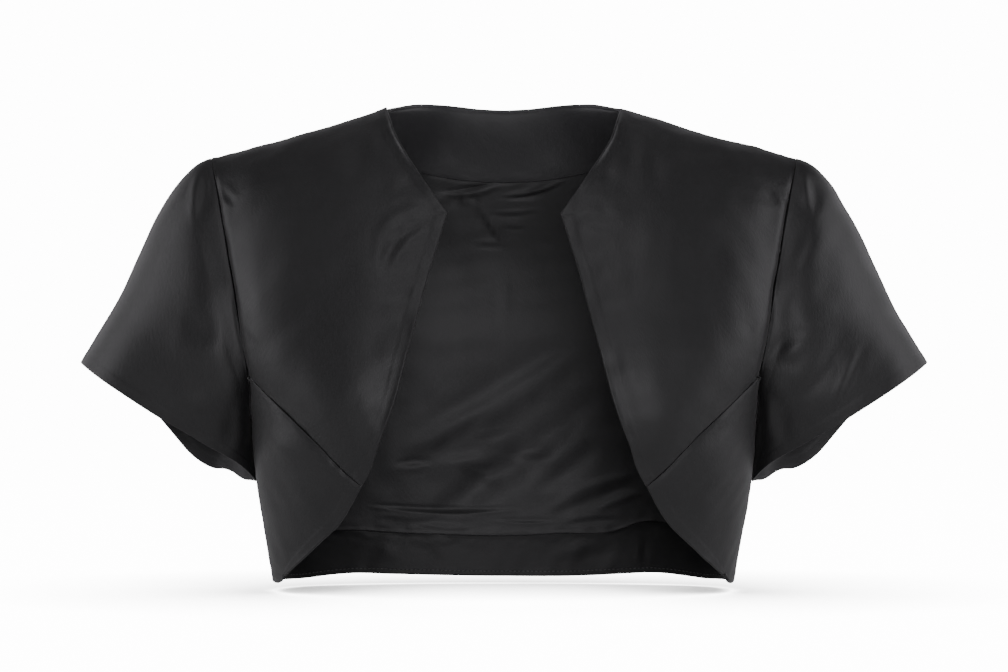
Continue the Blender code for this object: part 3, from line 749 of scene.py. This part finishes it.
def wall(name, grid, pressed, kinds, thickness, outward, material, inner_material, closed=False):
    """A closed wall of cloth from its outer points, with its thickness inside and rounded edges."""
    rows, columns = grid.shape[:2]
    n = normals(grid, closed) * outward
    count = rows * columns
    index = np.arange(count).reshape(rows, columns)
    points = [grid.reshape(-1, 3), (grid - n * thickness).reshape(-1, 3)]
    flat = np.stack([distances(grid, 1)[0], -distances(grid, 0)[0]], axis=-1).reshape(-1, 2)
    spread = [flat, flat]
    press = [pressed.ravel(), np.zeros(count)]
    wrap = np.concatenate([index, index[:, :1]], axis=1) if closed else index
    quads = np.stack([wrap[:-1, :-1], wrap[:-1, 1:], wrap[1:, 1:], wrap[1:, :-1]], axis=-1)
    quads = quads.reshape(-1, 4)
    faces = [quads, quads[:, ::-1] + count]
    slots = [np.zeros(len(quads), int), np.ones(len(quads), int)]
    if closed:
        top, bottom = EDGES[kinds["top"]], EDGES[kinds["bottom"]]
        rims = [
            (index[0], grid[0] - grid[1], top["roll"], top.get("lap", 0.0)),
            (index[-1][::-1], (grid[-1] - grid[-2])[::-1], bottom["roll"], bottom.get("lap", 0.0)),
        ]
    else:
        ring = np.concatenate([index[0, :-1], index[:-1, -1], index[-1, :0:-1], index[:0:-1, 0]])
        outs = np.zeros((rows, columns, 3))
        roll, lap = np.zeros((rows, columns)), np.zeros((rows, columns))
        for border, inner, side, ends in (
            (np.s_[0], np.s_[1], "top", ("left", "right")),
            (np.s_[-1], np.s_[-2], "bottom", ("left", "right")),
            (np.s_[:, 0], np.s_[:, 1], "left", ("top", "bottom")),
            (np.s_[:, -1], np.s_[:, -2], "right", ("top", "bottom")),
        ):
            e, way = EDGES[kinds[side]], grid[border] - grid[inner]
            outs[border] += unit(way)
            roll[border] = np.maximum(roll[border], e["roll"])
            reach = np.full(len(way), e.get("lap", 0.0))
            for far, end in zip(distances(grid[border], 0), ends):
                if kinds[end] not in ("seam", "lapped"):
                    reach = reach * np.clip(far / LAP_FADE - LAP_START, 0, 1)
            lap[border] = np.maximum(lap[border], reach)
        roll, lap = (a.ravel()[ring][:, None] for a in (roll, lap))
        rims = [(ring, outs.reshape(-1, 3)[ring], roll, lap)]
    start = 2 * count
    for ring, out, roll, lap in rims:
        at, across = grid.reshape(-1, 3)[ring], n.reshape(-1, 3)[ring]
        out = unit(out - (out * across).sum(axis=1, keepdims=True) * across)
        previous, half = ring, thickness / 2
        profile = [(roll * math.sin(a), half * (1 - math.cos(a))) for a in RIM_ANGLES]
        if np.max(lap) > 0:
            tucked = np.minimum(lap, 1) * LAP_DEPTH
            profile = profile[:3] + [(roll, thickness * LAP_LEAVES), (roll + lap, thickness + tucked)]
            profile += [(roll + lap, thickness + 2 * tucked)]
        for beyond, depth in profile:
            points.append(at - across * depth + out * beyond)
            spread.append(flat[ring])
            press.append(np.ones(len(ring)))
            current = np.arange(start, start + len(ring))
            faces.append(strip(previous, current))
            previous, start = current, start + len(ring)
        faces.append(strip(previous, ring + count))
        slots.append(np.zeros(len(ring) * (len(profile) + 1), int))
    points, faces, slots = np.concatenate(points), np.concatenate(faces), np.concatenate(slots)
    spread, press = np.concatenate(spread), np.concatenate(press)
    if outward < 0:
        faces = faces[:, ::-1]
    mesh = bpy.data.meshes.new(name)
    mesh.from_pydata((points * MM).tolist(), [], faces.tolist())
    corners = np.empty(len(mesh.loops), np.int32)
    mesh.loops.foreach_get("vertex_index", corners)
    uv = mesh.uv_layers.new(name="cloth")
    uv.data.foreach_set("uv", (spread[corners] * MM).astype(np.float32).ravel())
    mark = mesh.attributes.new("pressed", "FLOAT", "POINT")
    mark.data.foreach_set("value", press.astype(np.float32))
    mesh.materials.append(material)
    mesh.materials.append(inner_material)
    mesh.polygons.foreach_set("material_index", slots.astype(np.int32))
    mesh.shade_smooth()
    mesh.update()
    return add_object(name, mesh)


def with_values(node, **values):
    """The node with these values in its inputs; _ in a name stands for a space."""
    for name, value in values.items():
        node.inputs[name.replace("_", " ")].default_value = value
    return node


def join(links, *rows):
    """For each row (node, output, node, input), a link from that output to that input."""
    for source, given, target, taken in rows:
        links.new(source.outputs[given], target.inputs[taken])


def weave_group():
    """Satin's fine floats and slight unevenness, as a height, a tone and a gloss."""
    group = bpy.data.node_groups.new("satin_weave", "ShaderNodeTree")
    for name, default in (("Thread", 1500.0), ("Mottle", 330.0), ("Cloud", 38.0)):
        scale = group.interface.new_socket(name, in_out="INPUT", socket_type="NodeSocketFloat")
        scale.default_value = default
    for name in ("Height", "Tone", "Gloss"):
        group.interface.new_socket(name, in_out="OUTPUT", socket_type="NodeSocketFloat")
    nodes, links = group.nodes, group.links
    given, made = nodes.new("NodeGroupInput"), nodes.new("NodeGroupOutput")
    cloth_map = nodes.new("ShaderNodeUVMap")
    cloth_map.uv_map = "cloth"
    stretch = with_values(nodes.new("ShaderNodeMapping"), Scale=(1.0, 0.22, 1.0))
    join(links, (cloth_map, "UV", stretch, "Vector"))
    noises = {}
    for name, detail, source, at in (
        ("Thread", 1.0, stretch, "Vector"),
        ("Mottle", 2.0, cloth_map, "UV"),
        ("Cloud", 3.0, nodes.new("ShaderNodeTexCoord"), "Object"),
    ):
        noises[name] = with_values(nodes.new("ShaderNodeTexNoise"), Detail=detail)
        join(links, (source, at, noises[name], "Vector"), (given, name, noises[name], "Scale"))
    for name, factor, other in (("Height", 0.6, "Mottle"), ("Gloss", 0.5, "Cloud")):
        mixed = with_values(nodes.new("ShaderNodeMix"), Factor=factor)
        join(
            links, (noises["Thread"], "Fac", mixed, "A"), (noises[other], "Fac", mixed, "B"),
            (mixed, "Result", made, name),
        )
    join(links, (noises["Cloud"], "Fac", made, "Tone"))
    return group


ROUGH_SPREAD, PRESSED_GLOSS, WEAVE_HEIGHT = 0.05, 0.04, 0.00018


def cloth_material(name, weave, tone, rough, sheen, bump, specular=0.5):
    """A black cloth: its tone and roughness vary a little, and pressed edges are smoother."""
    material = bpy.data.materials.new(name)
    material.use_nodes = True
    nodes, links = material.node_tree.nodes, material.node_tree.links
    shader = with_values(
        nodes["Principled BSDF"],
        Sheen_Weight=sheen, Sheen_Roughness=0.45, Specular_IOR_Level=specular,
    )
    cloth = nodes.new("ShaderNodeGroup")
    cloth.node_tree = weave
    colour = nodes.new("ShaderNodeValToRGB")
    for element, grey, blue in zip(colour.color_ramp.elements, (0.85, 1.2), (0.92, 1.27)):
        element.color = (tone * grey, tone * grey, tone * blue, 1)
    pressed = nodes.new("ShaderNodeAttribute")
    pressed.attribute_name = "pressed"
    gloss = with_values(
        nodes.new("ShaderNodeMapRange"), To_Min=rough - ROUGH_SPREAD, To_Max=rough + ROUGH_SPREAD
    )
    smoother = nodes.new("ShaderNodeMath")
    smoother.operation = "MULTIPLY_ADD"
    smoother.inputs[1].default_value = -PRESSED_GLOSS
    raised = with_values(nodes.new("ShaderNodeBump"), Distance=WEAVE_HEIGHT, Strength=bump)
    join(
        links,
        (cloth, "Tone", colour, "Fac"), (colour, "Color", shader, "Base Color"),
        (cloth, "Gloss", gloss, "Value"),
        (pressed, "Fac", smoother, 0), (gloss, "Result", smoother, 2),
        (smoother, "Value", shader, "Roughness"),
        (cloth, "Height", raised, "Height"), (raised, "Normal", shader, "Normal"),
    )
    return material


weave = weave_group()
SATIN = cloth_material("black_satin", weave, tone=0.009, rough=0.49, sheen=0.06, bump=0.9)
# The facing satin has a lighter tone than the black satin: painted light on the neck facing.
FACING = cloth_material("facing_satin", weave, tone=0.026, rough=0.52, sheen=0.05, bump=0.8)
LINING = cloth_material("lining_cloth", weave, tone=0.014, rough=0.53, sheen=0.06, bump=0.6)
# The hem facing is a darker, less glossy copy of the satin: painted shade in the hem band.
SHADED_HEM_SATIN = cloth_material(
    "hem_satin_painted_shade", weave, tone=0.009, rough=0.52, sheen=0.04, bump=0.6, specular=0.36
)
OUTER = (SATIN, LINING, "outer_satin")


def plain_material(name, colour, rough):
    """A material of one colour, and its shader."""
    material = bpy.data.materials.new(name)
    material.use_nodes = True
    shader = material.node_tree.nodes["Principled BSDF"]
    return material, with_values(shader, Base_Color=(*colour, 1), Roughness=rough)


THREAD, _ = plain_material("black_thread", (0.06, 0.06, 0.064), 0.45)


def stitch_group():
    """Stitches along a line: sewing thread seen from above, one short bead for each stitch."""
    tree = bpy.data.node_groups.new("stitches", "GeometryNodeTree")
    for name, kind in (
        ("Line", "Geometry"), ("Pitch", "Float"), ("Length", "Float"), ("Thickness", "Float"),
        ("Seed", "Int"), ("Thread", "Material"),
    ):
        tree.interface.new_socket(name, in_out="INPUT", socket_type=f"NodeSocket{kind}")
    tree.interface.new_socket("Stitches", in_out="OUTPUT", socket_type="NodeSocketGeometry")
    nodes, links = tree.nodes, tree.links
    given, made = nodes.new("NodeGroupInput"), nodes.new("NodeGroupOutput")
    curve = nodes.new("GeometryNodeMeshToCurve")
    points = nodes.new("GeometryNodeCurveToPoints")
    points.mode = "LENGTH"
    bead = with_values(nodes.new("GeometryNodeMeshUVSphere"), Segments=8, Rings=6, Radius=0.5)
    size = nodes.new("ShaderNodeCombineXYZ")
    uneven = nodes.new("FunctionNodeRandomValue")
    uneven.data_type = "FLOAT_VECTOR"
    with_values(uneven, Min=(0.85, 0.85, 0.8), Max=(1.15, 1.15, 1.15))
    scaled = nodes.new("ShaderNodeVectorMath")
    scaled.operation = "MULTIPLY"
    placed = nodes.new("GeometryNodeInstanceOnPoints")
    realized = nodes.new("GeometryNodeRealizeInstances")
    painted = nodes.new("GeometryNodeSetMaterial")
    join(
        links,
        (given, "Line", curve, "Mesh"), (curve, "Curve", points, "Curve"),
        (given, "Pitch", points, "Length"), (points, "Points", placed, "Points"),
        (points, "Rotation", placed, "Rotation"), (bead, "Mesh", placed, "Instance"),
        (given, "Thickness", size, "X"), (given, "Thickness", size, "Y"),
        (given, "Length", size, "Z"), (given, "Seed", uneven, "Seed"),
        (size, "Vector", scaled, 0), (uneven, "Value", scaled, 1),
        (scaled, "Vector", placed, "Scale"), (placed, "Instances", realized, "Geometry"),
        (realized, "Geometry", painted, "Geometry"), (given, "Thread", painted, "Material"),
        (painted, "Geometry", made, "Stitches"),
    )
    return tree


STITCH = dict(Pitch=3.0, Length=2.0, Thickness=0.6)
STITCH_LIFT = 0.1
# How far above its bottom edge a piece has a row of stitches.
STITCHED = {"back_hem_facing": 2.4}


def line_above_hem(face, above):
    """Points at this distance above the bottom edge of a grid, one for each column."""
    far = distances(face, 0)[1]
    return [
        [np.interp(above, far[::-1, k], face[::-1, k, i]) for i in range(3)]
        for k in range(face.shape[1])
    ]


def stitches(name, points, tree, thread):
    """A row of stitches along these points, as a plain mesh."""
    mesh = bpy.data.meshes.new(name)
    edges = [(i, i + 1) for i in range(len(points) - 1)]
    mesh.from_pydata((np.array(points) * MM).tolist(), edges, [])
    row = add_object(name, mesh)
    sewing = row.modifiers.new("sewing", "NODES")
    sewing.node_group = tree
    values = {name: size * MM for name, size in STITCH.items()} | dict(Seed=4, Thread=thread)
    for socket in tree.interface.items_tree:
        if socket.item_type == "SOCKET" and socket.name in values:
            sewing[socket.identifier] = values[socket.name]
    evaluated = row.evaluated_get(bpy.context.evaluated_depsgraph_get())
    row.data = bpy.data.meshes.new_from_object(evaluated)
    row.modifiers.clear()
    row.data.shade_smooth()
    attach(row, "root")


stitch_tree = stitch_group()


def dress(
    name, node, grid, kinds, outward, seed, thickness, material, inner, slot, cut, closed=False, seen=1
):
    """One sewn piece from its grid: made, attached to the root, with the CAD part of its node hidden.
    """
    grid, pressed = sewn(grid, kinds, outward, seed, closed, seen)
    piece = wall(name, grid, pressed, kinds, thickness, outward, material, inner, closed)
    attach(piece, "root")
    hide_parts(node)
    return grid


# The cut of each piece, in metres: the rectangle that it is cut from and its own area.
CUTS = {
    "front_upper": dict(flat=(0.2, 0.26), area=0.033),
    "front_lower": dict(flat=(0.13, 0.15), area=0.0133),
    "sleeve": dict(flat=(0.36, 0.21), area=0.040),
    "back": dict(flat=(0.47, 0.35), area=0.134),
    "back_neck_facing": dict(flat=(0.28, 0.09), area=0.0138),
    "back_lining": dict(flat=(0.46, 0.31), area=0.1036),
    "back_hem_facing": dict(flat=(0.4, 0.04), area=0.0111),
}

for hand, word in ((-1, "left"), (1, "right")):
    turned = MIRROR if hand < 0 else 1
    dress(
        f"front_upper_cloth_{word}", f"front_upper_{word}", front_upper(hand) * turned,
        dict(top="lapped", bottom="seam", left="neckline", right="lapped"), -hand, 3 + hand, WALL,
        *OUTER, CUTS["front_upper"],
    )
    dress(
        f"front_lower_cloth_{word}", f"front_lower_{word}", front_lower(hand) * turned,
        dict(top="lapped", bottom="free", left="free", right="seam"), -hand, 33 + hand, WALL,
        *OUTER, CUTS["front_lower"],
    )
    dress(
        f"sleeve_cloth_{word}", f"sleeve_{word}", sleeve(hand) * turned,
        dict(top="lapped", bottom="free"), hand, 63 + hand, WALL,
        *OUTER, CUTS["sleeve"], closed=True,
    )

back_grid = back_panel(graded(BACK_COLUMNS, BACK_CLOSENESS), graded(BACK_ROWS))
back_grid = moved(back_grid, creases_at(back_grid, BACK_CREASES, 1) * calm_edges(back_grid), 1)
dress(
    "back_cloth", "back", back_grid, dict(top="seam", bottom="free", left="lapped", right="lapped"),
    1, 90, WALL, *OUTER, CUTS["back"],
)

# The pieces inside the back, from the neck down to the hem.
HIDDEN_SIDES = dict(left="hidden", right="hidden")
side_to_side = INNER_SIDE + (1 - 2 * INNER_SIDE) * graded(INNER_COLUMNS, INNER_CLOSENESS)
by_neck = NECK_FACING_SIDE + (1 - 2 * NECK_FACING_SIDE) * graded(FACING_COLUMNS, INNER_CLOSENESS)
seam_at = smooth(side_to_side, HEM_SEAM["across"], HEM_SEAM["down"])
for name, across, start, end, steps, creases, kinds, material, slot in (
    (
        "back_neck_facing", by_neck, np.full(len(by_neck), INNER_START), facing_edge(by_neck), 50,
        NECK_CREASES, dict(top="rolled", bottom="inner_seam", **HIDDEN_SIDES),
        FACING, "facing_satin",
    ),
    (
        "back_lining", side_to_side, facing_edge(side_to_side) + INNER_SEAM, seam_at - INNER_SEAM, 170,
        LINING_CREASES, dict(top="inner_seam", bottom="inner_seam", **HIDDEN_SIDES),
        LINING, "lining",
    ),
    (
        "back_hem_facing", side_to_side, seam_at + INNER_SEAM, np.full(len(seam_at), INNER_END), 26,
        HEM_CREASES, dict(top="inner_seam", bottom="hidden", **HIDDEN_SIDES),
        SHADED_HEM_SATIN, "facing_satin",
    ),
):
    made = dress(
        f"{name}_cloth", name, inside_back(across, start, end, steps, creases), kinds,
        1, 120 + steps, INNER_WALL, material, material, slot, CUTS[name], seen=-1,
    )
    if name in STITCHED:
        face = made - normals(made) * (INNER_WALL + STITCH_LIFT)
        row = line_above_hem(face, STITCHED[name])
        stitches(f"{name}_stitches", row, stitch_tree, THREAD)

# Camera, lights and stage
scene = bpy.context.scene
camera = add_object("camera", bpy.data.cameras.new("camera"))
camera.location = (0, -CAMERA_AWAY * MM, CAMERA_HEIGHT * MM)
camera.rotation_euler = (math.radians(90), 0, 0)
camera.data.lens = LENS
camera.data.sensor_width = 36
scene.camera = camera


def area_light(name, place, size, power, target=(0, 0, -0.15)):
    light = bpy.data.lights.new(name, "AREA")
    light.shape = "RECTANGLE"
    light.size, light.size_y = size
    light.energy = power
    light.color = (0.985, 0.965, 1.0)
    lamp = add_object(name, light)
    lamp.location = place
    lamp.rotation_euler = (Vector(target) - Vector(place)).to_track_quat("-Z", "Y").to_euler()


for side in (-1, 1):
    area_light("side_window", (side * 1.7, -0.2, 0.3), (1.0, 1.8), 14)
    area_light("side_fill", (side * 1.6, -1.1, 0.1), (0.8, 1.4), 0.15)
    area_light("side_rim", (side * 1.2, 0.9, 0.35), (0.8, 0.8), 2.5, target=(0, 0, -0.1))
area_light("front_window", (0.35, -3.2, -0.15), (1.1, 0.9), 35)
area_light("overhead_front", (0, -1.6, 1.5), (0.7, 0.9), 8)
area_light("overhead", (0, 0, 1.7), (1.2, 1.6), 3.5)
area_light("white_wall", (0, 2.2, 1.0), (3.6, 1.6), 7)

# A white sweep that the camera sees brightly, but that throws little light back.
WHITE, FLOOR_BOUNCE, ROOM = 14.0, 0.13, 0.012
world = bpy.data.worlds.new("studio")
world.use_nodes = True
nodes, links = world.node_tree.nodes, world.node_tree.links
path = nodes.new("ShaderNodeLightPath")
seen = with_values(nodes.new("ShaderNodeMapRange"), To_Min=ROOM, To_Max=WHITE)
backdrop = with_values(nodes["Background"], Color=(1, 1, 1, 1))
join(links, (path, "Is Camera Ray", seen, "Value"), (seen, "Result", backdrop, "Strength"))
scene.world = world

# The floor darkens near the cloth, as by a contact shadow.
FLOOR_DROP, FLOOR_REACH = 0.3275, 9
CONTACT, CONTACT_FROM, CONTACT_DARK = 0.2, 0.45, 0.04
paper, shader = plain_material("pale_paper", (0.8, 0.8, 0.8), 0.9)
nodes, links = paper.node_tree.nodes, paper.node_tree.links
with_values(shader, Specular_IOR_Level=0.0, Emission_Color=(1, 1, 1, 1))
path = nodes.new("ShaderNodeLightPath")
near_cloth = with_values(nodes.new("ShaderNodeAmbientOcclusion"), Distance=CONTACT)
near_cloth.samples = 16
open_sky = with_values(
    nodes.new("ShaderNodeMapRange"), From_Min=CONTACT_FROM, To_Min=WHITE * CONTACT_DARK, To_Max=WHITE
)
seen = with_values(nodes.new("ShaderNodeMix"), A=FLOOR_BOUNCE)
join(
    links, (near_cloth, "AO", open_sky, "Value"), (path, "Is Camera Ray", seen, "Factor"),
    (open_sky, "Result", seen, "B"), (seen, "Result", shader, "Emission Strength"),
)
mesh = bpy.data.meshes.new("floor")
corners = np.array([(-1, -1, 0), (1, -1, 0), (1, 1, 0), (-1, 1, 0)]) * FLOOR_REACH
mesh.from_pydata((corners - (0, 0, FLOOR_DROP)).tolist(), [], [(0, 1, 2, 3)])
mesh.materials.append(paper)
floor = add_object("floor", mesh)
